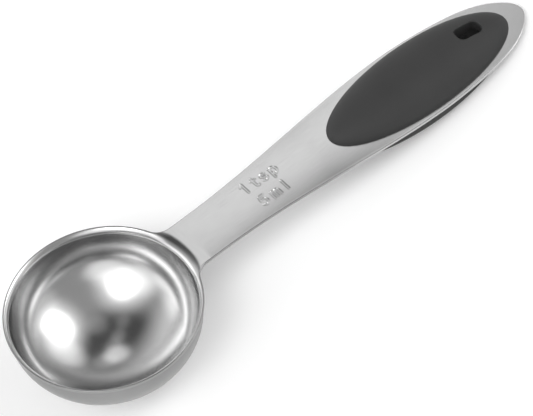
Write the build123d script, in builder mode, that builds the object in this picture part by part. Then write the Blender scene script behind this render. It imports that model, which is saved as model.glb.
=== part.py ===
from build123d import *
import os
from math import asin, atan2, cos, degrees, hypot, sin, sqrt

# A one-teaspoon (5 ml) measuring spoon: a deep round bowl and a flat handle
# pressed from one steel sheet, with soft pads moulded over and under the
# handle and a hard core that ties them together through a window in the steel.
# Lengths are in millimetres. The spoon's own frame has its origin at the
# centre of the rim, with x along the handle and z square to the rim. The
# finished spoon lies on a table, on its bowl and on the belly of its lower pad.

# Steel sheet and bowl
sheet = 0.5                 # thickness of the steel
bowl_radius = 14.05         # inside the straight wall
bowl_depth = 11.4           # from the lip down to the deepest point inside
wall_height = 0.15          # straight wall under the bend
knuckle_radius = 8.1        # inside, where the wall rounds into the dish
under_bend_radius = 0.65    # underside of the bend from the wall into the handle
lip_overhang = 0.35         # how far the trimmed lip stands out past the wall
edge_break = 0.12           # rounding left on the trimmed edges

# Grip: half an ellipsoid above the steel and a rounded pad below
grip_x = 59.9               # centre of the upper pad
grip_half_length = 16.75
grip_half_width = 6.28
grip_height = 3.8           # of the upper pad above the steel
grip_sink = 0.3             # how far the ellipsoid's centre lies under the steel's face
belly_back = 1.7            # how far the lower pad's centre lies before the upper one's
belly_end_outset = 2.45     # how much longer half the lower pad is than half the upper one
belly_side_outset = 0.49
belly_depth = 2.25          # of the lower pad below the steel
belly_end_depth = 0.8       # the same at the pad's two ends
belly_fillet = 1.0

# Handle, seen from above
neck_x = 19.6               # narrowest place
neck_half_width = 4.35
junction_fillet = 2.8       # where the neck flares into the rim
steel_margin = 0.82         # steel left beside the upper pad at its widest
tip_margin = 3.15           # steel left past the end of the upper pad
widest_back = 1.3           # how far before the upper pad's centre the handle is widest
arch_radius = 960.0         # the handle droops gently from the junction on
flank_along_share, flank_across_share = 0.5, 0.47
tip_along_shares = (0.442, 0.721, 0.921)
tip_across_shares = (0.906, 0.734, 0.395)

# Window in the steel, and the core's cheeks above and below it
window_end_margin = 4.0     # from the end of the upper pad to the window
window_side_margin = 3.68   # from the side of the upper pad to the window
cheek_overhang = 0.8        # how far a cheek laps over the window's edge
cheek_thickness = 0.7

# Hanging slot through pads and core
slot_end_wall = 0.9         # core left between the slot and the window's end
slot_length = 3.8
slot_width = 2.1
slot_corner = 0.7
slot_break = 0.15           # rounding of the slot's mouth

upright_share = 0.1         # how square to the rim a trimmed face or edge stands
overrun = 5.0               # how far cutting shapes run past what they cut

# Bowl section: the bend ends level with the handle's face, and the lip is
# where that bend is trimmed, which is the spoon's zero level
bend_radius = under_bend_radius + sheet
lip_radius = bowl_radius + sheet + lip_overhang
lip_back = under_bend_radius - lip_overhang
bend_z = -sqrt(bend_radius**2 - lip_back**2)
lip_low_z = bend_z + sqrt(under_bend_radius**2 - lip_back**2)
face_z = bend_z + bend_radius
knuckle_z = bend_z - wall_height
knuckle_x = bowl_radius - knuckle_radius
dish_drop = bowl_depth + knuckle_z
dish_centre_up = (knuckle_x**2 - (dish_drop - knuckle_radius) ** 2) / (
    2 * (dish_drop - knuckle_radius)
)
dish_radius = dish_centre_up + dish_drop
dish_angle = degrees(atan2(knuckle_x, dish_centre_up))

# Handle: level up to the end of the flare, then one arc that droops
widest_x = grip_x - widest_back
widest_half_width = grip_half_width + steel_margin
handle_reach = grip_x + grip_half_length + tip_margin
arch_start = bowl_radius + bend_radius + junction_fillet
arch_turn = degrees((handle_reach + overrun) / arch_radius)
arch_z = face_z - arch_radius

# Grip: where the pads stand on that arc, and the arc of the belly
grip_angle = asin((grip_x - arch_start) / arch_radius)
grip_z = arch_z + arch_radius * cos(grip_angle)
belly_half_length = grip_half_length + belly_end_outset
belly_half_width = grip_half_width + belly_side_outset
belly_sag = belly_depth - belly_end_depth
belly_radius = (belly_half_length**2 + belly_sag**2) / (2 * belly_sag)
belly_arm = belly_radius - belly_depth - sheet
window_length = 2 * (grip_half_length - window_end_margin)
window_width = 2 * (grip_half_width - window_side_margin)
slot_shift = (window_length - slot_length) / 2 - slot_end_wall

# Rest on the table: the line that touches the dish from below and, first of the
# two, the belly or the rounded lower edge at the tip of the handle
dish_z = knuckle_z + dish_centre_up
dish_outer = dish_radius + sheet
belly_x = grip_x + belly_arm * sin(grip_angle) - belly_back * cos(grip_angle)
belly_z = grip_z + belly_arm * cos(grip_angle) + belly_back * sin(grip_angle)
tip_x = handle_reach - edge_break
tip_z = arch_z + sqrt((arch_radius - sheet) ** 2 - (tip_x - arch_start) ** 2) + edge_break
tip_rise = sheet - 2 * edge_break


def dip(x, z, radius):
    """How far the rim dips when the spoon stands on the dish and on this circle."""
    span = hypot(x, z - dish_z)
    return atan2(z - dish_z, x) + asin((dish_outer - radius) / span)


rest_tilt = min(dip(belly_x, belly_z, belly_radius), dip(tip_x, tip_z, edge_break))
rim_height = dish_outer - dish_z * cos(rest_tilt)
front_reach = (lip_radius - edge_break) * cos(rest_tilt) - lip_low_z * sin(rest_tilt)
tip_reach = tip_x * cos(rest_tilt) + (tip_z + tip_rise) * sin(rest_tilt)
rim_x = (front_reach - tip_reach) / 2


def tilted(angle, origin):
    """A plane whose x runs along the handle and dips by angle."""
    return Plane(origin, x_dir=(cos(angle), 0, -sin(angle)), z_dir=(sin(angle), 0, cos(angle)))


def side_of(plane):
    """The upright plane through the handle's middle that shares plane's origin and x."""
    return Plane(plane.origin, x_dir=plane.x_dir, z_dir=-plane.y_dir)


rim = tilted(rest_tilt, (rim_x, 0, rim_height))
side = side_of(rim)
grip = tilted(rest_tilt + grip_angle, rim.from_local_coords(Vector(grip_x, 0, grip_z)))

with BuildPart() as steel_spoon:
    # Draw: half the bowl's section, one line thickened by the sheet, spun round
    with BuildSketch(side):
        with BuildLine():
            dish = JernArc((0, -bowl_depth), (1, 0), dish_radius, dish_angle)
            knuckle = JernArc(dish @ 1, dish % 1, knuckle_radius, 90 - dish_angle)
            wall = Line(knuckle @ 1, (bowl_radius, bend_z))
            bend = JernArc(wall @ 1, (0, 1), bend_radius, -90)
            Line(bend @ 1, (arch_start, face_z))
            offset(amount=sheet, side=Side.RIGHT)
        make_face()
    revolve(axis=Axis(rim.origin, rim.z_dir))
    # The handle's strip carries on from the flange
    with BuildSketch(side):
        with BuildLine():
            level = Line((bowl_radius + bend_radius + sheet, face_z), (arch_start, face_z))
            JernArc(level @ 1, (1, 0), arch_radius, -arch_turn)
            offset(amount=sheet, side=Side.RIGHT)
        make_face()
    extrude(amount=widest_half_width + overrun, both=True)
    # Trim: everything outside the rim and the handle's outline is cut away
    with BuildSketch(rim.offset(-bowl_depth - overrun)) as outline:
        with BuildLine():
            root = Line((0, 0), (0, neck_half_width))
            neck = Line(root @ 1, (neck_x, neck_half_width))
            flank_point = (
                neck_x + (widest_x - neck_x) * flank_along_share,
                neck_half_width + (widest_half_width - neck_half_width) * flank_across_share,
            )
            flank = Spline(
                neck @ 1, flank_point, (widest_x, widest_half_width), tangents=[(1, 0), (1, 0)]
            )
            tip_points = [
                (widest_x + (handle_reach - widest_x) * along, widest_half_width * across)
                for along, across in zip(tip_along_shares, tip_across_shares)
            ]
            Spline(flank @ 1, *tip_points, (handle_reach, 0), tangents=[(1, 0), (0, -1)])
            mirror(about=Plane.XZ)
        make_face()
        Circle(lip_radius)
        fillet(outline.vertices().group_by(Axis.X)[0], junction_fillet)
    extrude(amount=bowl_depth + 2 * overrun, mode=Mode.INTERSECT)
    # Tumble: the trimmed edges come out slightly round
    trimmed = [
        face
        for face in steel_spoon.faces(Select.LAST)
        if abs(face.normal_at().dot(rim.z_dir)) < upright_share
    ]
    outline_edges = [
        edge
        for edge in ShapeList(trimmed).edges()
        if abs(edge.tangent_at(0.5).dot(rim.z_dir)) < upright_share
    ]
    fillet(outline_edges, edge_break)
    # Punch the window that the grip is moulded through
    with BuildSketch(grip.offset(-sheet - overrun)):
        SlotOverall(window_length, window_width)
    extrude(amount=sheet + 2 * overrun, mode=Mode.SUBTRACT)

# The hanging slot runs through the core and both pads
with BuildSketch(grip.offset(-sheet - belly_depth - overrun)) as slot:
    with Locations((slot_shift, 0)):
        RectangleRounded(slot_length, slot_width, slot_corner)
slot_run = grip_height + sheet + belly_depth + 2 * overrun

with BuildPart() as grip_core:
    # Moulded through the window, with a cheek that laps over the steel on each face
    with BuildSketch(grip.offset(-sheet - cheek_thickness)):
        SlotOverall(window_length + 2 * cheek_overhang, window_width + 2 * cheek_overhang)
    extrude(amount=sheet + 2 * cheek_thickness)
    add(steel_spoon.part, mode=Mode.SUBTRACT)
    add(slot.sketch)
    extrude(amount=slot_run, mode=Mode.SUBTRACT)

with BuildPart() as upper_grip_pad:
    # Half an ellipsoid, its centre a little under the steel's face
    dome_height = grip_height + grip_sink
    dome_half_length = grip_half_length / sqrt(1 - (grip_sink / dome_height) ** 2)
    dome = scale(
        Sphere(dome_half_length, rotation=(0, 0, 180), mode=Mode.PRIVATE),
        by=(1, grip_half_width / grip_half_length, dome_height / dome_half_length),
        mode=Mode.PRIVATE,
    )
    with Locations(grip.offset(-grip_sink)):
        add(dome)
    split(bisect_by=grip.offset(-sheet / 2), keep=Keep.TOP)
    add([steel_spoon.part, grip_core.part], mode=Mode.SUBTRACT)
    add(slot.sketch)
    extrude(amount=slot_run, mode=Mode.SUBTRACT)
    fillet(upper_grip_pad.faces().sort_by(SortBy.AREA)[-1].inner_wires().edges(), slot_break)

with BuildPart() as lower_grip_pad:
    # The pad's outline pushed down, cut off along the belly's arc and rounded
    with BuildSketch(grip):
        with Locations((-belly_back, 0)):
            Ellipse(belly_half_length, belly_half_width)
    extrude(amount=belly_depth + overrun, both=True)
    with BuildSketch(side_of(grip)):
        with Locations((-belly_back, belly_arm)):
            Circle(belly_radius)
    extrude(amount=belly_half_width + overrun, both=True, mode=Mode.INTERSECT)
    fillet(lower_grip_pad.faces().filter_by(GeomType.CYLINDER).edges(), belly_fillet)
    with BuildSketch(side_of(grip)):
        with Locations((0, -arch_radius)):
            Circle(arch_radius - sheet / 2)
    extrude(amount=belly_half_width + overrun, both=True, mode=Mode.INTERSECT)
    add([steel_spoon.part, grip_core.part], mode=Mode.SUBTRACT)
    add(slot.sketch)
    extrude(amount=slot_run, mode=Mode.SUBTRACT)
    fillet(lower_grip_pad.faces().sort_by(SortBy.AREA)[-1].inner_wires().edges(), slot_break)

steel_spoon.part.label = "steel_spoon"
grip_core.part.label = "grip_core"
upper_grip_pad.part.label = "upper_grip_pad"
lower_grip_pad.part.label = "lower_grip_pad"

os.makedirs("parts", exist_ok=True)
export_step(steel_spoon.part, "parts/steel_spoon.step")
export_step(grip_core.part, "parts/grip_core.step")
export_step(upper_grip_pad.part, "parts/upper_grip_pad.step")
export_step(lower_grip_pad.part, "parts/lower_grip_pad.step")
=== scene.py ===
# %% [markdown]
# # A one-teaspoon measuring spoon
# The spoon is one pressed sheet of polished steel, with a dark soft grip moulded
# round the far half of its handle. It lies on a table, on its bowl and on the
# belly of the grip. The exact solids come from the CAD model. This lesson
# dresses them: it rebuilds the steel and the two pads as fine smooth surfaces,
# stamps the capacity into the handle, and lights the whole as a product shot.

import math

import bpy
import numpy as np
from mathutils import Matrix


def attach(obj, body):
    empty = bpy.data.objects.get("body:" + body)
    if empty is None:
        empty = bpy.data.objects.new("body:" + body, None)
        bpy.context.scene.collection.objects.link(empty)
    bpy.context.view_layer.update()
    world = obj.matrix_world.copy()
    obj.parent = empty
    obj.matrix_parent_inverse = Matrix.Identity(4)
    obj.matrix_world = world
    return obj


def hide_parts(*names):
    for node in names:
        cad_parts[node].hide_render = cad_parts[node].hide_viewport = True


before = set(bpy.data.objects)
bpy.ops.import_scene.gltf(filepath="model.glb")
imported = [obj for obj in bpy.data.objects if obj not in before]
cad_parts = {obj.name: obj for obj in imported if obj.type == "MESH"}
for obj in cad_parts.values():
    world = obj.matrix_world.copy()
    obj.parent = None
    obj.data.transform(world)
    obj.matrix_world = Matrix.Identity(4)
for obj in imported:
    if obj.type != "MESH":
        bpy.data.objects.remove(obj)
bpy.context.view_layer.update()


print("nodes:", sorted(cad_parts))

# %% [markdown]
# ## The spoon's own sizes
# On the real spoon everything is measured from the rim: the bowl is round about
# the rim's axis, the handle leaves it level, and the grip sits on the handle.
# So the surfaces below are written in the rim's frame, in millimetres, with x
# along the handle and z square to the rim, and placed on the table at the end.
# The values are those of the CAD model, so that each new surface lies on its
# solid. Working in one frame keeps the formulas short, because the few degrees
# by which the spoon leans on the table enter only once.

# %% Sizes in millimetres
SHEET = 0.5

# Bowl, inside: radius, depth, upright wall, and the knuckle that rounds wall into dish
BOWL_R, BOWL_DEPTH, WALL_H, KNUCKLE_R = 14.05, 11.4, 0.15, 8.1

# Lip: the underside of its bend, its reach past the wall, and how round its edge is
UNDER_BEND_R, LIP_OVERHANG, LIP_ROUND = 0.65, 0.35, 0.24

# Handle: narrowest place and flare into the rim, widest place and tip, droop, rounded edge
NECK_X, NECK_HALF, FLARE_R = 19.6, 4.35, 2.8
WIDEST_X, WIDEST_HALF, TIP_X = 58.6, 7.1, 79.8
ARCH_R, EDGE = 960.0, 0.12

# Upper pad: middle, half length, half width, height, and how far its middle is sunk
GRIP_X, GRIP_A, GRIP_B, GRIP_H, GRIP_SINK = 59.9, 16.75, 6.28, 3.8, 0.3

# Lower pad: how far back it sits, half length, half width, depths and rounding
BELLY_BACK, BELLY_A, BELLY_B = 1.7, 19.2, 6.77
BELLY_DEPTH, BELLY_END, BELLY_ROUND = 2.25, 0.8, 1.0

# Window in the steel, and how far the core's cheeks stand out above and below it
WINDOW_L, WINDOW_W, CHEEK = 25.5, 5.2, 0.7

# Hanging slot: place from the upper pad's middle, size, corners, and wear all round
SLOT_SHIFT, SLOT_L, SLOT_W, SLOT_CORNER, SLOT_WEAR = 9.95, 3.8, 2.1, 0.7, 0.2

# How the spoon lies, as the CAD model works it out: its lean, and the rim's middle
TILT = 0.116914379
RIM_X, RIM_Z = -32.076931, 11.943676

BEND_R = UNDER_BEND_R + SHEET
BEND_X = BOWL_R + BEND_R
LIP_R = BOWL_R + SHEET + LIP_OVERHANG
BEND_Z = -math.sqrt(BEND_R**2 - (UNDER_BEND_R - LIP_OVERHANG) ** 2)
FACE_Z = BEND_Z + BEND_R
KNUCKLE_Z, KNUCKLE_X = BEND_Z - WALL_H, BOWL_R - KNUCKLE_R
DROP = BOWL_DEPTH + KNUCKLE_Z
DISH_UP = (KNUCKLE_X**2 - (DROP - KNUCKLE_R) ** 2) / (2 * (DROP - KNUCKLE_R))
DISH_R, DISH_Z = DISH_UP + DROP, KNUCKLE_Z + DISH_UP
DISH_ANGLE = math.atan2(KNUCKLE_X, DISH_UP)
ARCH_X = BEND_X + FLARE_R
GRIP_ANGLE = math.asin((GRIP_X - ARCH_X) / ARCH_R)
GRIP_Z = FACE_Z - ARCH_R + ARCH_R * math.cos(GRIP_ANGLE)
print(f"dish radius {DISH_R:.2f} mm, rim height {RIM_Z:.2f} mm, lean {math.degrees(TILT):.2f} degrees")


def leaning(angle, origin):
    """A 4x4 matrix for a frame whose x dips by angle, with its origin in millimetres."""
    c, s = math.cos(angle), math.sin(angle)
    m = np.eye(4)
    m[:3, 0], m[:3, 1], m[:3, 2] = (c, 0, -s), (0, 1, 0), (s, 0, c)
    m[:3, 3] = origin
    return m


RIM = leaning(TILT, (RIM_X, 0, RIM_Z))
GRIP = RIM @ leaning(GRIP_ANGLE, (GRIP_X, 0, GRIP_Z))

# %% [markdown]
# ## From a grid of points to a piece
# Every new surface is a function of two parameters, sampled on a grid. This step
# turns such grids into one closed mesh. Grids that meet share their border
# points, so joining equal points sews them together, and a border that shrinks
# to a point becomes a pole. Blender could smooth the faces by itself, but
# polished steel shows the smallest kink in its shading, so every point also
# keeps the normal that its formula gives. A third grid says how the steel is
# finished there, and where its colour is painted darker as shade. It becomes an
# attribute, which the material reads.

# %% Sewing grids into a mesh
MM = 0.001


def grain_and_shade_at(across, along, satin_and_painted_shade):
    """The grain of a patch: mm across the belt's lines, mm along them, and 1 where satin, which is
    rougher and painted darker as shade.
    """
    return np.stack(np.broadcast_arrays(across, along, satin_and_painted_shade), -1)


def sew(name, patches, place, node):
    """One mesh object from patches, placed by the 4x4 matrix place.

    A patch is its points, its normals, the quads to keep and its grain, whose
    third number marks satin steel that is painted darker as shade. Points,
    normals and grain are grids of triples, and the quads are a grid of True and
    False, or None to keep all. Points that agree to a hundred-thousandth of a
    millimetre become one, and their normals are added up. A quad is turned to
    face the way its normals point, and is a triangle where two corners meet.
    """
    points, normals, grains, quads, base = [], [], [], [], 0
    for p, n, kept, grain_and_painted_shade in patches:
        i = np.arange(p[..., 0].size).reshape(p.shape[:2])
        q = np.stack([i[:-1, :-1], i[1:, :-1], i[1:, 1:], i[:-1, 1:]], -1)
        q = q.reshape(-1, 4) if kept is None else q[kept]
        p, n = p.reshape(-1, 3), n.reshape(-1, 3)
        own = np.cross(p[q[:, 2]] - p[q[:, 0]], p[q[:, 3]] - p[q[:, 1]])
        facing = np.einsum("ij,ij->i", own, n[q].sum(1))
        q[facing < 0] = q[facing < 0][:, ::-1]
        points.append(p)
        normals.append(n)
        grains.append(grain_and_painted_shade.reshape(-1, 3))
        quads.append(q + base)
        base += len(p)
    points, normals, grains, quads = (np.concatenate(v) for v in (points, normals, grains, quads))

    # Drop the points that no quad uses, then join the equal ones
    used = np.unique(quads)
    points, normals, grains = points[used], normals[used], grains[used]
    quads = np.searchsorted(used, quads)
    rounded = np.round(points, 5) + 0.0
    _, first, joined = np.unique(rounded, axis=0, return_index=True, return_inverse=True)
    joined = joined.reshape(-1)
    summed = np.zeros((len(first), 3))
    np.add.at(summed, joined, normals)
    quads = joined[quads]

    # A corner that repeats the one before it is left out of its quad
    same = quads == np.roll(quads, 1, axis=1)
    crossed = (quads[:, 0] == quads[:, 2]) | (quads[:, 1] == quads[:, 3])
    pinched = same.sum(1) == 1
    triangles = quads[pinched][~same[pinched]].reshape(-1, 3)
    faces = quads[~same.any(1) & ~crossed].tolist() + triangles.tolist()

    world = np.c_[points[first], np.ones(len(first))] @ place.T
    mesh = bpy.data.meshes.new(name)
    mesh.from_pydata((world[:, :3] * MM).tolist(), [], faces)
    mesh.polygons.foreach_set("use_smooth", np.ones(len(mesh.polygons), bool))
    turned = summed @ place[:3, :3].T
    turned /= np.linalg.norm(turned, axis=1, keepdims=True)
    mesh.normals_split_custom_set_from_vertices(turned.tolist())
    layer = mesh.attributes.new("grain_and_painted_shade", "FLOAT_VECTOR", "POINT")
    layer.data.foreach_set("vector", grains[first].ravel())
    piece = bpy.data.objects.new(name, mesh)
    bpy.context.scene.collection.objects.link(piece)
    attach(piece, "root")
    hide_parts(node)
    print(f"{name}: {len(mesh.vertices)} points, {len(faces)} faces")
    return piece


# %% [markdown]
# ## The outline that the press trims
# On the real spoon one cutting die trims the whole blank: a round rim, two small
# flares, and the long handle that widens to the grip and ends round. The handle's
# sides could be arcs, but they have no corner anywhere, so a drawn spline through
# a few widths is closer: its slope is fixed at the neck, at the widest place and
# at the tip. Each outline point carries its outward normal, so that the edge can
# be rounded off later by stepping inwards along it. Only one half is worked out,
# because the other is its mirror image.

# %% Curves for an outline


def drawn(points, start, end, count):
    """A cubic spline through points, with given directions at its start and end.

    Its parameter t is the length of the straight lines between the points. The
    slopes m follow from the second derivative being the same on both sides of
    each inner point, and every stretch is then a Hermite cubic.
    """
    p = np.array(points, float)
    t = np.r_[0, np.cumsum(np.linalg.norm(np.diff(p, axis=0), axis=1))]
    h, n = np.diff(t), len(p)
    a, rhs = np.eye(n), np.zeros((n, 2))
    rhs[0], rhs[-1] = start, end
    for k in range(1, n - 1):
        a[k, k - 1 : k + 2] = 1 / h[k - 1], 2 / h[k - 1] + 2 / h[k], 1 / h[k]
        rhs[k] = 3 * ((p[k] - p[k - 1]) / h[k - 1] ** 2 + (p[k + 1] - p[k]) / h[k] ** 2)
    m = np.linalg.solve(a, rhs)
    s = np.linspace(0, t[-1], count)
    k = np.clip(np.searchsorted(t, s, "right") - 1, 0, n - 2)
    u, w = ((s - t[k]) / h[k])[:, None], h[k][:, None]
    return (
        (1 + 2 * u) * (1 - u) ** 2 * p[k]
        + u * (1 - u) ** 2 * w * m[k]
        + u**2 * (3 - 2 * u) * p[k + 1]
        + u**2 * (u - 1) * w * m[k + 1]
    )


def arc(cx, cy, r, a0, a1, count):
    """Points of a circle's arc from angle a0 to a1 in degrees."""
    a = np.radians(np.linspace(a0, a1, count))
    return np.c_[cx + r * np.cos(a), cy + r * np.sin(a)]


# %% Outline of the steel, one half, from the tip round to the front of the rim
JOIN_X = 17.0  # the line across the neck where the bowl's grid ends and the handle's begins
TIP_SHAPE = [(0, 1), (0.442, 0.906), (0.721, 0.734), (0.921, 0.395), (1, 0)]
FLANK_SHARE = 0.47  # how much of its widening the handle has done half way

flare_x = math.sqrt((LIP_R + FLARE_R) ** 2 - (NECK_HALF + FLARE_R) ** 2)
flare_end = math.degrees(math.atan2(NECK_HALF + FLARE_R, flare_x))
tip_points = np.array(TIP_SHAPE) * (TIP_X - WIDEST_X, WIDEST_HALF) + (WIDEST_X, 0)
tip_curve = drawn(tip_points, (1, 0), (0, -1), 400)
middle = ((NECK_X + WIDEST_X) / 2, NECK_HALF + FLANK_SHARE * (WIDEST_HALF - NECK_HALF))
flank = drawn([(NECK_X, NECK_HALF), middle, (WIDEST_X, WIDEST_HALF)], (1, 0), (1, 0), 400)
neck = np.c_[np.linspace(flare_x, NECK_X, 60), np.full(60, NECK_HALF)]
flare = arc(flare_x, NECK_HALF + FLARE_R, FLARE_R, -90, flare_end - 180, 24)
lip = arc(0, 0, LIP_R, flare_end, 180, 110)
side = np.concatenate([tip_curve[::-1], flank[::-1][1:], neck[::-1][1:]])
round_end = np.concatenate([flare, lip[1:]])


def outward(points, first, last):
    """Unit normals on the right of the path, with the first and the last one given."""
    d = np.gradient(points, axis=0)
    n = np.c_[d[:, 1], -d[:, 0]] / np.linalg.norm(d, axis=1, keepdims=True)
    n[0], n[-1] = first, last
    return n


side_n = outward(side, (1, 0), (0, 1))
a = np.arctan2(round_end[:, 1], round_end[:, 0])
end_n = np.c_[np.cos(a), np.sin(a)]
end_n[: len(flare)] = ((flare_x, NECK_HALF + FLARE_R) - flare) / FLARE_R
print(f"outline: {len(side) + len(round_end)} points a side, flare from x {flare_x:.2f} mm")

# %% [markdown]
# ## Heights of the sheet
# The bowl turns into the handle through one bend: the wall rises, turns outwards
# with a radius of about a millimetre and runs out level. The same bend goes all
# the way round, but everywhere except at the handle it is trimmed just past the
# wall, and what is left of it is the spoon's sloping lip. So one height formula
# serves lip, bend and handle, above and, with the sheet's thickness off, below.
# At the neck the upper bend runs out longer than it is high, as drawn steel does
# where it isn't trimmed.

# %% Height and normal of the top and the underside
NECK_BEND = 1.95  # how far the bend runs outwards at the neck
NECK_INNER, NECK_OUTER = 0.18, 0.44  # radians off the handle: all of it, and none of it


def smooth(u):
    """An even passage from 0 to 1 that starts and ends level: 3 u^2 less 2 u^3."""
    u = np.clip(u, 0, 1)
    return u * u * (3 - 2 * u)


def top_height(x, y):
    """Height of the upper face: a quarter ellipse out of the wall, then level, then the droop."""
    r = np.hypot(x, y)
    near_neck = smooth((NECK_OUTER - np.abs(np.arctan2(y, x))) / (NECK_OUTER - NECK_INNER))
    reach = BEND_R + (NECK_BEND - BEND_R) * near_neck
    g = np.clip(1 - (r - BOWL_R) / reach, 0, 1)
    q = np.clip(x - ARCH_X, 0, None)
    return BEND_Z + BEND_R * np.sqrt(1 - g**2) + np.sqrt(ARCH_R**2 - q**2) - ARCH_R


def top_side(x, y):
    """Height and unit normal of the upper face outside the bowl's wall.

    The slope is the height a tiny step ahead less that a tiny step behind, over
    both steps, once outwards from the bowl's axis and once round it.
    """
    step = 1e-4
    out = np.stack([x, y], -1) / np.hypot(x, y)[..., None]
    slope = 0
    for way in (out, np.stack([-out[..., 1], out[..., 0]], -1)):
        dx, dy = step * way[..., 0], step * way[..., 1]
        change = top_height(x + dx, y + dy) - top_height(x - dx, y - dy)
        slope = slope + change[..., None] / (2 * step) * way
    n = np.concatenate([-slope, np.ones_like(slope[..., :1])], -1)
    return top_height(x, y), n / np.linalg.norm(n, axis=-1, keepdims=True)


def under_side(x, y):
    """Height and unit normal of the lower face: a quarter circle, then level, then the droop."""
    r = np.hypot(x, y)
    g = np.clip(BEND_X - r, 0, UNDER_BEND_R)
    z = BEND_Z + np.sqrt(UNDER_BEND_R**2 - g**2)
    q = np.clip(x - ARCH_X, 0, None)
    low = ARCH_R - SHEET
    drop = np.sqrt(low**2 - q**2) - low
    nx = g / UNDER_BEND_R * x / r - q / low
    ny = g / UNDER_BEND_R * y / r
    nz = -np.sqrt(1 - nx**2 - ny**2)
    return z + drop, np.stack([nx, ny, nz], -1)


def bowl_profile(thick, counts):
    """Radius, height and normal from the bowl's middle to the top of its wall.

    Two arcs that share a tangent, then a short straight wall: the dish, the
    knuckle and the wall. thick is 0 for the inside and SHEET for the outside,
    and counts are the points on the dish and on the knuckle.
    """
    a = np.linspace(0, DISH_ANGLE, counts[0])
    b = np.linspace(DISH_ANGLE, math.pi / 2, counts[1])[1:]
    r = np.r_[(DISH_R + thick) * np.sin(a), KNUCKLE_X + (KNUCKLE_R + thick) * np.sin(b)]
    z = np.r_[DISH_Z - (DISH_R + thick) * np.cos(a), KNUCKLE_Z - (KNUCKLE_R + thick) * np.cos(b)]
    t = np.r_[a, b]
    nr, nz = -np.sin(t), np.cos(t)
    r, z = np.r_[r, BOWL_R + thick], np.r_[z, BEND_Z]
    nr, nz = np.r_[nr, -1.0], np.r_[nz, 0.0]
    return (r, z, nr, nz) if not thick else (r, z, -nr, -nz)


lip_z = top_side(np.array(-LIP_R), np.array(0.0))[0]
print(f"lip at {lip_z:.3f} mm, handle's face at {FACE_Z:.3f} mm")

# %% [markdown]
# ## The stamped capacity
# The real handle carries its capacity, struck into the face between neck and
# grip. It could be a picture laid on the steel, but a struck mark is relief: its
# walls catch the light on one side and go dark on the other. So each sign is a
# set of strokes, and the face sinks by a smooth step near them. Only the plain
# numbers and units are struck. The signs are drawn upright, in millimetres from
# their own lower left corner, and PLACES says where that corner lies.

# %% Strokes of the capacity marks


def bow(cx, cy, rx, ry, a0, a1, count=14):
    """Points of an ellipse's arc, for the round parts of a sign."""
    a = np.radians(np.linspace(a0, a1, count))
    return list(zip(cx + rx * np.cos(a), cy + ry * np.sin(a)))


SIGNS = {
    "1": [[(0.0, 1.5), (0.42, 1.9), (0.42, 0.0)]],
    "t": [
        [(0.3, 1.75), (0.3, 0.4), *bow(0.62, 0.4, 0.32, 0.4, 180, 290, 8)],
        [(0.0, 1.3), (0.72, 1.3)],
    ],
    "s": [[*bow(0.5, 0.98, 0.4, 0.32, 30, 260), *bow(0.5, 0.33, 0.44, 0.33, 80, -150)]],
    "p": [[(0.1, 1.3), (0.1, -0.6)], bow(0.6, 0.65, 0.5, 0.65, 180, -180, 24)],
    "5": [[(1.0, 1.9), (0.28, 1.9), (0.14, 1.05), *bow(0.52, 0.62, 0.52, 0.62, 125, -150)]],
    "m": [
        [(0.1, 1.3), (0.1, 0.0)],
        [*bow(0.42, 0.9, 0.32, 0.4, 180, 0, 10), (0.74, 0.0)],
        [*bow(1.06, 0.9, 0.32, 0.4, 180, 0, 10), (1.38, 0.0)],
    ],
    "l": [[(0.15, 1.9), (0.15, 0.0)]],
}
PLACES = [
    ("1", 28.1, 1.05), ("t", 29.9, 1.05), ("s", 31.4, 1.05), ("p", 33.1, 1.05),
    ("5", 28.65, -2.55), ("m", 30.6, -2.55), ("l", 33.1, -2.55),
]
STROKE, STEP, DEPTH = 0.09, 0.16, 0.075  # half a stroke's width, its sloping side, its depth

strokes = []
for sign, x0, y0 in PLACES:
    for line in SIGNS[sign]:
        q = np.array(line) + (x0, y0)
        strokes.append(np.c_[q[:-1], q[1:]])
strokes = np.concatenate(strokes)
strokes = strokes[np.hypot(*(strokes[:, 2:] - strokes[:, :2]).T) > 1e-6]


def struck(x, y):
    """Height of the marks: DEPTH under the face near a stroke, and smoothly level further out."""
    nearest = np.full(x.shape, np.inf)
    for ax, ay, bx, by in strokes:
        dx, dy = bx - ax, by - ay
        u = np.clip(((x - ax) * dx + (y - ay) * dy) / (dx * dx + dy * dy), 0, 1)
        nearest = np.minimum(nearest, np.hypot(x - ax - u * dx, y - ay - u * dy))
    return -DEPTH * (1 - smooth((nearest - STROKE) / STEP))


print(f"{len(PLACES)} signs, {len(strokes)} strokes")

# %% [markdown]
# ## The steel sheet
# The real sheet is drawn down into the bowl and stays flat in the handle, so it
# is built of two grids above and two below. Round the bowl the grid is polar, and
# its outermost ring runs along the lip, the flares and one line across the neck.
# From that line on, rows run across the handle to the tip. The middle columns
# close up before the window under the grip, leave it open and meet again behind
# it. Rows and columns are dense only where the marks are struck. A strip round
# the whole outline joins top and underside with rounded edges.

# %% Rows of the handle, from the neck to the tip
MARKS_FROM, MARKS_TO = 27.7, 35.0
MARK_ROW, ROW_GAP = 0.055, 0.05
TIP_FROM = 74.5  # from here on each row ends on a point of the tip's outline
w0, w1, w_r = GRIP_X - WINDOW_L / 2, GRIP_X + WINDOW_L / 2, WINDOW_W / 2

inset_side = side - EDGE * side_n
order = np.argsort(inset_side[:, 0], kind="stable")
rounding = (1 - np.cos(np.linspace(0, math.pi / 2, 13))) * w_r
rows = np.r_[
    np.linspace(JOIN_X, MARKS_FROM, 24),
    np.arange(MARKS_FROM, MARKS_TO, MARK_ROW),
    np.linspace(MARKS_TO, w0, 22),
    w0 + rounding,
    np.linspace(w0 + w_r, w1 - w_r, 26),
    w1 - rounding,
    np.linspace(w1, TIP_FROM, 6),
]
tip_rows = inset_side[::10, 0]
tip_rows = tip_rows[tip_rows > TIP_FROM + ROW_GAP][::-1]
rows = np.r_[np.unique(np.round(rows, 6)), tip_rows]


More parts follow.
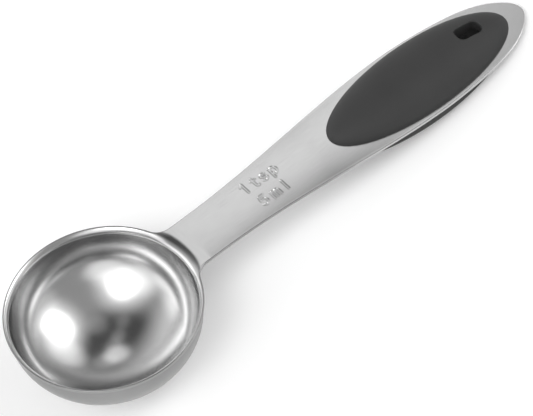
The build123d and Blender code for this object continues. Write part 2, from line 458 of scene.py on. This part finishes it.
def at_row(x, values):
    """A value of the outline's side at the rows x."""
    return np.interp(x, inset_side[order, 0], values[order])


half = at_row(rows, inset_side[:, 1])
half[-1] = 0.0
print(f"handle: {len(rows)} rows, from {rows[0]:.1f} to {rows[-1]:.1f} mm")

# %% Columns of the handle, from one side to the other
INNER = 0.3  # columns up to this share of the way out run round the window
MARK_COLUMN, MARKS_SHARE = 0.011, 0.7  # spacing of the columns that cross the marks, and their end
CLOSING = 36.0  # where the inner columns start to close up towards the window

one_side = np.unique(np.r_[
    np.arange(0, INNER, MARK_COLUMN),
    np.arange(INNER, MARKS_SHARE, MARK_COLUMN),
    np.linspace(MARKS_SHARE, 1, 9),
])
fine = np.r_[-one_side[:0:-1], one_side]
few = np.linspace(INNER, 1, 9)
coarse = np.unique(np.r_[-few, np.linspace(-INNER, INNER, 7), few])

# Half the width that the inner columns take: a share of the handle's, or the window's
inner = INNER * half * smooth(np.interp(rows, [CLOSING, w0, w1, TIP_FROM], [1, 0, 0, 1]))
from_middle = np.clip(np.maximum(w0 + w_r - rows, rows - (w1 - w_r)), 0, w_r)
inner = np.where((rows > w0) & (rows < w1), np.sqrt(w_r**2 - from_middle**2), inner)


def handle_grid(v):
    """Points in plan of the handle: v is the way out from its middle, from -1 to 1.

    Up to INNER the columns share the inner width, and beyond it the rest.
    """
    s, m = np.sign(v)[None], np.abs(v)[None]
    c, h = inner[:, None], half[:, None]
    y = np.where(m <= INNER, c * m / INNER, c + (h - c) * (m - INNER) / (1 - INNER)) * s
    return np.repeat(rows[:, None], len(v), 1), y


def window_open(v):
    """True for the quads that stay: those outside the window."""
    mid_x = (rows[1:] + rows[:-1]) / 2
    mid_v = np.abs(v[1:] + v[:-1]) / 2
    return ~(((mid_x > w0) & (mid_x < w1))[:, None] & (mid_v < INNER)[None])


print(f"handle: {len(fine)} columns above and {len(coarse)} below")

# %% [markdown]
# ## Struck marks and a soft crown on the handle's face
# Belt polishing takes a little more off a long face near its edges, so a real
# handle is very slightly crowned and mirrors the room as a gradient, not as one
# flat grey. A curved face would leave the solid's, so only the normals lean
# outwards, by CROWN for each millimetre off the middle, and less beside the grip.

# %% The handle's face and its underside
CROWN = 0.012
CROWN_FALL = [40, 55], [1, 0.35]  # where along the handle the crown gets weaker, and to what share

x, y = handle_grid(fine)
z, n = top_side(x, y)
relief, step = struck(x, y), 0.01
n[..., 1] += CROWN * y * np.interp(x, *CROWN_FALL)
n[..., 0] -= (struck(x + step, y) - struck(x - step, y)) / (2 * step)
n[..., 1] -= (struck(x, y + step) - struck(x, y - step)) / (2 * step)
n /= np.linalg.norm(n, axis=-1, keepdims=True)
top_handle = (np.stack([x, y, z + relief], -1), n, window_open(fine), grain_and_shade_at(y, x, 0))
x, y = handle_grid(coarse)
z, n = under_side(x, y)
# The underside is satin: rougher, and its colour painted darker as shade.
low_handle = (np.stack([x, y, z], -1), n, window_open(coarse), grain_and_shade_at(y, x, 1))
print(f"marks: {-relief.min():.3f} mm deep")

# %% [markdown]
# ## The bowl and its lip
# The press draws the bowl round, so every section through its axis is the same
# up to the wall. Spinning the section would give that, but what lies outside the
# wall ends on the lip, the flares and the neck, and they aren't one circle. So
# the grid is polar: each column aims at one point of that ring, follows the
# bowl's section up the wall, and runs out over the bend to its point.

# %% The bowl's ring of outermost points
LIP_TO, EDGE_FROM = 13.5, 16.5  # between these the lip's rounding passes into the handle's


def edge_round(x):
    """Width of the edge's rounding: the lip's is fuller than the handle's."""
    return np.interp(x, [LIP_TO, EDGE_FROM], [LIP_ROUND, EDGE])


neck_back = np.linspace(JOIN_X, flare_x, 6)[1:-1]
ring_p = np.concatenate([np.c_[neck_back, np.full(len(neck_back), NECK_HALF)], round_end])
ring_n = np.concatenate([np.tile((0.0, 1.0), (len(neck_back), 1)), end_n])
ring_q = ring_p - edge_round(ring_p[:, 0])[:, None] * ring_n
print(f"ring: {len(ring_p)} points from the neck to the front")

# %% The bowl, inside and outside
BELT_R = 9  # along the belt's lines, the way round the bowl is measured on this radius
RING_GRAIN = 3  # and across them, the ring outside the wall counts as this much


def polar_grid(v, profile, face, count, satin_and_painted_shade):
    """A grid round the bowl's axis: each column follows the profile, then the face to the ring.

    The columns aim at the points of the ring and of the line across the neck,
    where v gives the places. The count rings outside the wall start close
    together, as squares of even steps, because the bend is there.
    """
    line = np.c_[np.full(len(v), JOIN_X), handle_grid(v)[1][0]]
    line = line[line[:, 1] >= -1e-9]
    upper = np.concatenate([line, ring_q])
    loop = np.concatenate([upper, (upper * (1, -1))[::-1][1:]])
    az, reach = np.arctan2(loop[:, 1], loop[:, 0]), np.hypot(loop[:, 0], loop[:, 1])
    r, z, nr, nz = profile
    u = np.linspace(0, 1, count)[1:] ** 2
    c, s = np.cos(az)[:, None], np.sin(az)[:, None]
    bowl_p = np.stack([r * c, r * s, np.tile(z, (len(az), 1))], -1)
    bowl_n = np.stack([nr * c, nr * s, np.tile(nz, (len(az), 1))], -1)
    ring_r = r[-1] + (reach[:, None] - r[-1]) * u
    ring_z, face_n = face(ring_r * c, ring_r * s)
    face_p = np.stack([ring_r * c, ring_r * s, ring_z], -1)
    p, n = np.concatenate([bowl_p, face_p], 1), np.concatenate([bowl_n, face_n], 1)
    run = np.r_[0, np.cumsum(np.hypot(np.diff(r), np.diff(z)))]
    return p, n, None, grain_and_shade_at(np.r_[run, run[-1] + RING_GRAIN * u], az[:, None] * BELT_R, satin_and_painted_shade)


top_bowl = polar_grid(fine, bowl_profile(0, (18, 22)), top_side, 22, 0)
# The outside of the bowl is satin: rougher, and its colour painted darker as shade.
low_bowl = polar_grid(coarse, bowl_profile(SHEET, (14, 18)), under_side, 14, 1)
print("bowl: grids of", top_bowl[0].shape[:2], "inside and", low_bowl[0].shape[:2], "outside")

# %% [markdown]
# ## The trimmed edge
# After the cut the spoon is tumbled with small stones, which takes the sharpness
# off its edges. A bevel modifier could round them, but a bevel is even all round,
# and the lip is worn fuller than the handle. So a strip is carried along the
# outline: a rounded corner, the straight cut and a rounded corner again.

# %% The rounded edge that joins top and underside
EDGE_DULL_AND_PAINTED_SHADE = [38, 46], [0.9, 0.0]  # nearly satin, so rougher and painted darker as shade, up to 38 mm along the handle; polished from 46 on


def edge_strip(p, n):
    """The trimmed edge along outline points p: a rounded corner, a straight cut, a rounded corner.

    Each corner is a curve with its control point where the two faces would meet,
    so it starts along the face and ends along the cut. A corner's three points
    are given by how far out of the outline they lie, and by their height.
    """
    e = edge_round(p[:, 0])
    q = p - e[:, None] * n
    top_in, low_in = top_side(q[:, 0], q[:, 1])[0], under_side(q[:, 0], q[:, 1])[0]
    top_out, low_out = top_side(p[:, 0], p[:, 1])[0], under_side(p[:, 0], p[:, 1])[0]
    flush = 0 * e
    upper_corner = (-e, top_in), (flush, top_out), (flush, top_out - e)
    lower_corner = (flush, low_out + e), (flush, low_out), (-e, low_in)
    cols, norms = [], []
    for corner in (upper_corner, lower_corner):
        for t in np.linspace(0, 1, 6):
            out, z = ((1 - t) ** 2 * a + 2 * t * (1 - t) * b + t * t * c for a, b, c in zip(*corner))
            d_out, dz = ((1 - t) * (b - a) + t * (c - b) for a, b, c in zip(*corner))
            length = np.hypot(d_out, dz)
            cols.append(np.c_[p + out[:, None] * n, z])
            norms.append(np.c_[n * (-dz / length)[:, None], d_out / length])
    return np.stack(cols, 1), np.stack(norms, 1)


rows_back = rows[::-1]
side_m = np.c_[at_row(rows_back, side_n[:, 0]), at_row(rows_back, side_n[:, 1])]
side_m[0] = 1, 0
side_m /= np.linalg.norm(side_m, axis=1, keepdims=True)
side_p = np.c_[rows_back, half[::-1]] + EDGE * side_m
strip_p, strip_n = edge_strip(np.r_[side_p, ring_p], np.r_[side_m, ring_n])
# Beside the bowl and the neck the edge is satin: rougher, and its colour painted darker as shade.
dull_and_painted_shade = np.interp(strip_p[..., 0], *EDGE_DULL_AND_PAINTED_SHADE)
strip_grain_and_shade = grain_and_shade_at(np.linspace(0, 1, strip_p.shape[1]), 0, dull_and_painted_shade)
upper_edge = (strip_p, strip_n, None, strip_grain_and_shade)
lower_edge = (strip_p * (1, -1, 1), strip_n * (1, -1, 1), None, strip_grain_and_shade)
print(f"edge: {strip_p.shape[0]} places along each side, {strip_p.shape[1]} points round the edge")

# %% The window's cut wall, hidden by the grip
at_window = (rows >= w0 - 1e-9) & (rows <= w1 + 1e-9)
wall = np.c_[rows[at_window], inner[at_window]]
wall = np.concatenate([wall, (wall * (1, -1))[::-1][1:]])
zt, zb = top_side(wall[:, 0], wall[:, 1])[0], under_side(wall[:, 0], wall[:, 1])[0]
cut = np.stack([np.c_[wall, zt], np.c_[wall, zb]], 1)
middle_x = np.clip(wall[:, 0], w0 + w_r, w1 - w_r)
inward = np.stack([middle_x - wall[:, 0], -wall[:, 1], 0 * middle_x], -1) / w_r
window_wall = (cut, np.repeat(inward[:, None], 2, 1), None, cut * (1, 1, 0))

steel = sew(
    "polished_steel",
    [top_bowl, top_handle, upper_edge, lower_edge, low_bowl, low_handle, window_wall],
    RIM, "steel_spoon",
)

# %% [markdown]
# ## The two soft pads
# On the real spoon soft rubber is moulded over and under the hard core, through
# the window. The upper pad is half an ellipsoid, steep where it meets the steel.
# The lower one is fuller: its section is nearly a box with round corners. Both
# could be spheres squashed to shape, but the hanging slot pierces them off
# centre. So each is a ring of rays from the slot's middle: along a ray the point
# runs out of the slot, over its rounded mouth, across the pad and down to the
# steel. The pads are written in the grip's own frame, whose middle lies on the
# steel under the upper pad, with u along it, w across it and z up.

# %% Rays from the slot's middle to the pad's outline
RAYS, COLUMNS = 420, 46
MOUTH = 0.16  # rounding of the slot's mouth


def slot_edge(angle, grow):
    """Distance from the slot's middle to its rounded outline, grown by grow, at each angle.

    It is the shorter of the ways to the two straight sides or, where that way
    ends beyond the corner's middle on both, the way to the corner's circle.
    """
    c, s = np.abs(np.cos(angle)), np.abs(np.sin(angle))
    a, b, r = SLOT_L / 2 + grow, SLOT_W / 2 + grow, SLOT_CORNER + grow
    flat = np.minimum(a / np.maximum(c, 1e-9), b / np.maximum(s, 1e-9))
    px, py = a - r, b - r
    along = c * px + s * py
    off = r * r - (s * px - c * py) ** 2
    corner = along + np.sqrt(np.maximum(off, 0))
    in_corner = (flat * c > px) & (flat * s > py) & (off > 0)
    return np.where(in_corner, corner, flat)


def pad_rays(middle, a, b):
    """Angles at the slot's middle, and distances to an ellipse a by b about its own middle."""
    t = np.linspace(0, 2 * math.pi, RAYS + 1)
    x, y = middle + a * np.cos(t) - SLOT_SHIFT, b * np.sin(t)
    return np.unwrap(np.arctan2(y, x)), np.hypot(x, y)


def steel_face(u, below):
    """Height of the drooping steel at u, an arc of ARCH_R, and by below under its face."""
    return np.sqrt((ARCH_R - below) ** 2 - u**2) - ARCH_R


def pad(name, node, middle, a, b, height, sign, below):
    """A pad as rays: slot wall, rounded mouth, open surface, foot on the steel.

    height(u, w) is the pad's surface, sign is 1 above the steel and -1 below, and
    below is how far under the steel's face the pad's foot stands. The columns
    crowd towards the foot, where a pad is steep. The normals come from the grid:
    each is square to the ways to the next points along a ray and round the slot.
    """
    angle, reach = pad_rays(middle, a, b)
    c, s = np.cos(angle)[:, None], np.sin(angle)[:, None]
    near = slot_edge(angle, SLOT_WEAR)[:, None]
    grown = slot_edge(angle, SLOT_WEAR + MOUTH)[:, None]
    t = np.linspace(0, 1, COLUMNS)[None]
    out = grown + (reach[:, None] - grown) * (1 - (1 - t) ** 2)
    u, w = SLOT_SHIFT + out * c, out * s
    open_z = height(u, w)
    open_z[:, -1] = steel_face(u[:, -1], below)
    q = np.linspace(0, math.pi / 2, 6)[None, :-1]
    mouth_r = near + (grown - near) * (1 - np.cos(q))
    mouth_z = open_z[:, :1] - sign * MOUTH * (1 - np.sin(q))
    rising = np.linspace(0, 1, 4)[None, :-1]
    core_z = sign * CHEEK - below
    wall_z = core_z + (mouth_z[:, :1] - core_z) * rising
    r = np.concatenate([near + 0 * rising, mouth_r, out], 1)
    z = np.concatenate([wall_z, mouth_z, open_z], 1)
    p = np.stack([SLOT_SHIFT + r * c, r * s, z], -1)
    du, dv = np.gradient(p, axis=1), np.gradient(p, axis=0)
    dv[0] = dv[-1] = (p[1] - p[-2]) / 2
    n = np.cross(du, dv) * sign
    n /= np.maximum(np.linalg.norm(n, axis=-1, keepdims=True), 1e-12)
    return sew(name, [(p, n, None, p * (1, 1, 0))], GRIP, node)


# %% The two pads
dome_h = GRIP_H + GRIP_SINK
swell = 1 / math.sqrt(1 - (GRIP_SINK / dome_h) ** 2)
belly_sag = BELLY_DEPTH - BELLY_END
belly_r = (BELLY_A**2 + belly_sag**2) / (2 * belly_sag)


def dome(u, w):
    """The upper pad: an ellipsoid whose middle lies GRIP_SINK under the steel's face.

    It is swollen a little, so that it meets the face in an ellipse of just
    GRIP_A by GRIP_B.
    """
    k = 1 - (u / (GRIP_A * swell)) ** 2 - (w / (GRIP_B * swell)) ** 2
    return -GRIP_SINK + dome_h * np.sqrt(np.maximum(k, 0))


def belly(u, w):
    """The lower pad: an arc along it, whose rim rounds off into an upright side.

    The way in from the outline is the ellipse's own measure over its slope, and
    the rounding is a quarter circle over that way.
    """
    u = u + BELLY_BACK
    deep = BELLY_DEPTH + SHEET + np.sqrt(belly_r**2 - u**2) - belly_r
    rho = np.hypot(u / BELLY_A, w / BELLY_B)
    steep = np.hypot(u / BELLY_A**2, w / BELLY_B**2) / np.maximum(rho, 1e-6)
    gap = np.clip(BELLY_ROUND - (1 - rho) / np.maximum(steep, 1e-6), 0, BELLY_ROUND)
    rise = BELLY_ROUND - np.sqrt(BELLY_ROUND**2 - gap**2)
    return np.minimum(rise - deep, steel_face(u - BELLY_BACK, SHEET))


upper = pad("upper_pad", "upper_grip_pad", 0, GRIP_A, GRIP_B, dome, 1, 0)
lower = pad("lower_pad", "lower_grip_pad", -BELLY_BACK, BELLY_A, BELLY_B, belly, -1, SHEET)

# %% [markdown]
# ## Polished and satin steel
# The inside of the bowl and the face of the handle are polished: they mirror the
# room, a little blurred by the last fine belt. In the bowl the belt's lines run
# round, on the handle they run along it. The outside has a rougher satin finish,
# and its colour is painted darker there, as painted shade. A plain mirror would
# be quicker, but it looks like chrome. So the roughness and a very shallow bump
# follow the lines, which an attribute carries: its first number counts across
# them, its second along, its third is 1 where satin and painted darker.

# %% Helpers for materials


class Wires:
    """Adds nodes to a tree and links them, so that a material reads as a list of steps."""

    def __init__(self, tree):
        self.tree = tree
        tree.nodes.clear()

    def add(self, kind, inputs=None, **settings):
        """A node of the kind; an input is linked if it is another node's output."""
        node = self.tree.nodes.new("ShaderNode" + kind)
        for k, value in settings.items():
            setattr(node, k, value)
        for k, value in (inputs or {}).items():
            if isinstance(value, bpy.types.NodeSocket):
                self.tree.links.new(value, node.inputs[k])
            else:
                node.inputs[k].default_value = value
        return node

    def between(self, value, low, high, out_low, out_high):
        """Maps value from low..high to out_low..out_high, and stops at the ends."""
        numbers = {"From Min": low, "From Max": high, "To Min": out_low, "To Max": out_high}
        return self.add("MapRange", {"Value": value, **numbers}).outputs[0]


def material(name):
    """An empty node material and its wires."""
    made = bpy.data.materials.new(name)
    made.use_nodes = True
    return made, Wires(made.node_tree)


# %% Steel
NOISE = 0.3, 0.7  # where nearly all values of a noise lie
STEEL_TONE, PATCH = (0.54, 0.57), 6.25 * MM  # its tone, which changes in patches of that size
POLISHED = 0.15, 0.21  # roughness, which changes from line to line
# Where satin, the steel's colour is painted darker by the first number, as painted shade, and its
# roughness rises by the second.
SATIN_PAINTED_SHADE, SATIN_ROUGHER = 0.26, 0.14
LINES = 17.0, 0.35, 0.0  # changes per millimetre, across the belt's lines and along them
LINE_DEPTH = 0.004 * MM

steel_look, wires = material("polished_satin_steel_and_painted_shade")
grain_and_painted_shade = wires.add("Attribute", attribute_name="grain_and_painted_shade").outputs["Vector"]
satin_and_painted_shade = wires.add("SeparateXYZ", {0: grain_and_painted_shade}).outputs["Z"]
stretched = wires.add("VectorMath", {0: grain_and_painted_shade, 1: LINES}, operation="MULTIPLY").outputs[0]
lines = wires.add("TexNoise", {"Vector": stretched, "Scale": 1.0, "Detail": 3.0}).outputs[0]
where = wires.add("TexCoord").outputs["Object"]
wear = wires.add("TexNoise", {"Vector": where, "Scale": 1 / PATCH, "Detail": 2.0}).outputs[0]
tone = wires.between(wear, *NOISE, *STEEL_TONE)
# Where satin, the colour is painted darker: painted shade on the bowl's outside, the underside and the
# dull edges.
tone_and_painted_shade = wires.add("Math", {0: satin_and_painted_shade, 1: -SATIN_PAINTED_SHADE, 2: tone}, operation="MULTIPLY_ADD").outputs[0]
color = wires.add("CombineColor", {"Red": tone_and_painted_shade, "Green": tone_and_painted_shade, "Blue": tone_and_painted_shade}).outputs[0]
base = wires.between(lines, *NOISE, *POLISHED)
rough = wires.add("Math", {0: satin_and_painted_shade, 1: SATIN_ROUGHER, 2: base}, operation="MULTIPLY_ADD").outputs[0]
bump = wires.add("Bump", {"Height": lines, "Strength": 0.25, "Distance": LINE_DEPTH}).outputs[0]
look = {"Base Color": color, "Metallic": 1.0, "Roughness": rough, "Normal": bump}
wires.add("OutputMaterial", {"Surface": wires.add("BsdfPrincipled", look).outputs[0]})
steel.data.materials.append(steel_look)
print(f"steel: roughness {POLISHED[0]} to {POLISHED[1]}, satin {SATIN_ROUGHER} more")

# %% [markdown]
# ## Soft rubber and hard core
# Moulded soft rubber is nearly black and has a matt skin, as fine as the spark
# grain of its mould. Painted noise alone would look flat, so a small bump breaks
# up the highlight. The hard core shows only as the wall of the slot: it is the
# CAD's own solid, and smoother than the rubber. The pads aren't declared as
# padding, because moulded rubber this thin hardly gives.

# %% Rubber and core
SPREAD = 0.04  # how far the skin's roughness moves to both sides
DULL_GLINT = 0.25  # half of what Blender gives a smooth plastic


def moulded(name, dark, light, rough, grain_size, height):
    """A moulded black from dark to light, with a skin of that grain size and height in metres."""
    made, wires = material(name)
    where = wires.add("TexCoord").outputs["Object"]
    skin = wires.add("TexNoise", {"Vector": where, "Scale": 1 / grain_size, "Detail": 4.0}).outputs[0]
    broad = wires.add("TexNoise", {"Vector": where, "Scale": 120.0, "Detail": 1.0}).outputs[0]
    tone = wires.between(broad, *NOISE, dark, light)
    color = wires.add("CombineColor", {"Red": tone, "Green": tone, "Blue": tone}).outputs[0]
    gloss = wires.between(skin, *NOISE, rough - SPREAD, rough + SPREAD)
    bump = wires.add("Bump", {"Height": skin, "Strength": 0.5, "Distance": height}).outputs[0]
    look = {"Base Color": color, "Roughness": gloss, "Normal": bump, "Specular IOR Level": DULL_GLINT}
    wires.add("OutputMaterial", {"Surface": wires.add("BsdfPrincipled", look).outputs[0]})
    return made


rubber = moulded("soft_matt_rubber", 0.038, 0.043, rough=0.6, grain_size=0.22 * MM, height=0.016 * MM)
hard = moulded("hard_black_core", 0.018, 0.022, rough=0.4, grain_size=0.4 * MM, height=0.004 * MM)
upper.data.materials.append(rubber)
lower.data.materials.append(rubber)
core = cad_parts["grip_core"]
core.data.materials.clear()
core.data.materials.append(hard)
print("materials:", [m.name for m in bpy.data.materials])

# %% [markdown]
# ## Table
# The spoon lies on a pale seamless table. It could be lit until it burns out,
# but then the steel would burn out too. So the table is a light grey that the
# lamps bring nearly to white, and a faint glow, seen by the camera and in the
# steel alone, does the rest. The glow is weak, so the spoon keeps its shadow.

# %% Floor
TABLE_SIZE, TABLE_GREY, TABLE_GLOW = 6.0, 0.87, 0.165

bpy.ops.mesh.primitive_plane_add(size=TABLE_SIZE, location=(0, 0, 0))
floor = bpy.context.object
floor.name = "floor"
pale, wires = material("pale_table")
ray = wires.add("LightPath").outputs
seen = ray["Is Camera Ray"]
for kind in ("Is Glossy Ray", "Is Transmission Ray"):
    seen = wires.add("Math", {0: seen, 1: ray[kind]}, operation="MAXIMUM").outputs[0]
strength = wires.add("Math", {0: seen, 1: TABLE_GLOW}, operation="MULTIPLY").outputs[0]
matt = wires.add("BsdfDiffuse", {"Color": (TABLE_GREY, TABLE_GREY, TABLE_GREY, 1)}).outputs[0]
glow = wires.add("Emission", {"Color": (1, 1, 1, 1), "Strength": strength}).outputs[0]
wires.add("OutputMaterial", {"Surface": wires.add("AddShader", {0: matt, 1: glow}).outputs[0]})
floor.data.materials.append(pale)
print("floor:", floor.dimensions[:])

# %% [markdown]
# ## Soft studio light
# What polished steel shows is the room. A product studio is a dim tent with soft
# boxes: two above, left and right, that leave their round glints in the bowl, a
# dark gap between them where the camera looks in, and a weaker light low at the
# back. Area lamps would do, but each needs aiming and their edges are hard. Here
# the room itself glows: every soft box is a spot on the sky that fades at its
# edge, so all of them together are one short table of directions and sizes. A
# box with a negative gain is a black flag, which takes light away.

# %% Sky and soft boxes
room = bpy.data.worlds.new("studio")
bpy.context.scene.world = room
room.use_nodes = True
wires = Wires(room.node_tree)
sky = wires.add("TexCoord").outputs["Generated"]


def toward(azimuth, off_top):
    """Unit vector off_top degrees from straight up, toward azimuth degrees from +X to +Y."""
    a, z = math.radians(azimuth), math.radians(off_top)
    return math.sin(z) * math.cos(a), math.sin(z) * math.sin(a), math.cos(z)


def soft_box(azimuth, off_top, near, far):
    """1 within near degrees of a direction, falling smoothly to 0 at far degrees from it."""
    ends = {0: sky, 1: toward(azimuth, off_top)}
    off = wires.add("VectorMath", ends, operation="DOT_PRODUCT").outputs["Value"]
    low, high = (math.cos(math.radians(angle)) for angle in (far, near))
    edges = {"Value": off, "From Min": low, "From Max": high}
    return wires.add("MapRange", edges, interpolation_type="SMOOTHSTEP").outputs[0]


# %% The table of soft boxes
ROOM, DARKEST = 0.43, 0.075  # the bare sky, and the least that the black flag leaves
BOXES = [  # azimuth, off_top, near, far, gain
    # Left, on the camera's side: a bright box with its halo, and a fill to each side
    (-154, 31, 1, 18, 3.6),
    (-154, 31, 5, 34, 0.7),
    (-129, 54, 5, 30, 0.88),
    (-176, 50, 5, 29, 0.9),
    # Right, beyond the handle's tip: the same
    (-19, 51, 1, 18, 3.6),
    (-19, 51, 5, 32, 0.75),
    (-38, 72, 2, 28, 0.5),
    (11, 58, 1, 20, 0.85),
    # The black flag overhead, and in it what the handle's face mirrors to the camera
    (62, 28, 15, 42, -0.44),
    (58, 42, 1, 13, 1.1),
    (47, 49, 2, 12, 0.38),
    # A faint streak across the flag, and a patch for the handle seen from above
    (55, 31, 1, 10, 0.3),
    (66, 22, 1, 9, 0.35),
    (99, 13, 1, 9, 0.28),
    (-3, 16, 3, 13, 0.28),
    # Low lights round the back and beyond the tip
    (143, 80, 2, 36, 1.5),
    (99, 74, 14, 48, 0.55),
    (-8, 98, 5, 28, 1.0),
]
level = ROOM
for azimuth, off_top, near, far, gain in BOXES:
    box = soft_box(azimuth, off_top, near, far)
    level = wires.add("Math", {0: box, 1: gain, 2: level}, operation="MULTIPLY_ADD").outputs[0]
level = wires.add("Math", {0: level, 1: DARKEST}, operation="MAXIMUM").outputs[0]
glow = wires.add("Background", {"Color": (1, 1, 1, 1), "Strength": level}).outputs[0]
wires.add("OutputWorld", {"Surface": glow})
print(f"{len(BOXES)} soft boxes on the sky")

# %% [markdown]
# ## Camera
# The photograph looks down on the spoon from the side of the bowl, and is turned
# so that the handle runs to the upper right. The angles, the distance and the
# lens were fitted to the outline of rim, handle and pad. A long lens from a metre
# and a half keeps the perspective as flat as the photograph's.

# %% Camera at the photograph's angle
AZIMUTH, ELEVATION, ROLL = (math.radians(v) for v in (-20.5315, 55.5352, -23.2255))
AIM, DISTANCE = np.array([-3.57, -2.63, 8.0]) * MM, 1.46911
SENSOR, LENS = 36, 677.432  # both in millimetres

flat = math.cos(ELEVATION)
away = np.array([math.sin(AZIMUTH) * flat, -math.cos(AZIMUTH) * flat, math.sin(ELEVATION)])
level_right = np.array([math.cos(AZIMUTH), math.sin(AZIMUTH), 0.0])
level_up = np.cross(away, level_right)
turn = np.eye(4)
turn[:3, 0] = level_right * math.cos(ROLL) + level_up * math.sin(ROLL)
turn[:3, 1] = level_up * math.cos(ROLL) - level_right * math.sin(ROLL)
turn[:3, 2] = away
turn[:3, 3] = AIM + DISTANCE * away
lens = bpy.data.cameras.new("camera")
lens.sensor_width, lens.lens = SENSOR, LENS
lens.clip_start, lens.clip_end = 0.1, 10
camera = bpy.data.objects.new("camera", lens)
bpy.context.scene.collection.objects.link(camera)
camera.matrix_world = turn.T.tolist()
bpy.context.scene.camera = camera
bpy.context.scene.view_settings.view_transform = "Standard"
print("camera at (m):", [round(v, 4) for v in turn[:3, 3]])
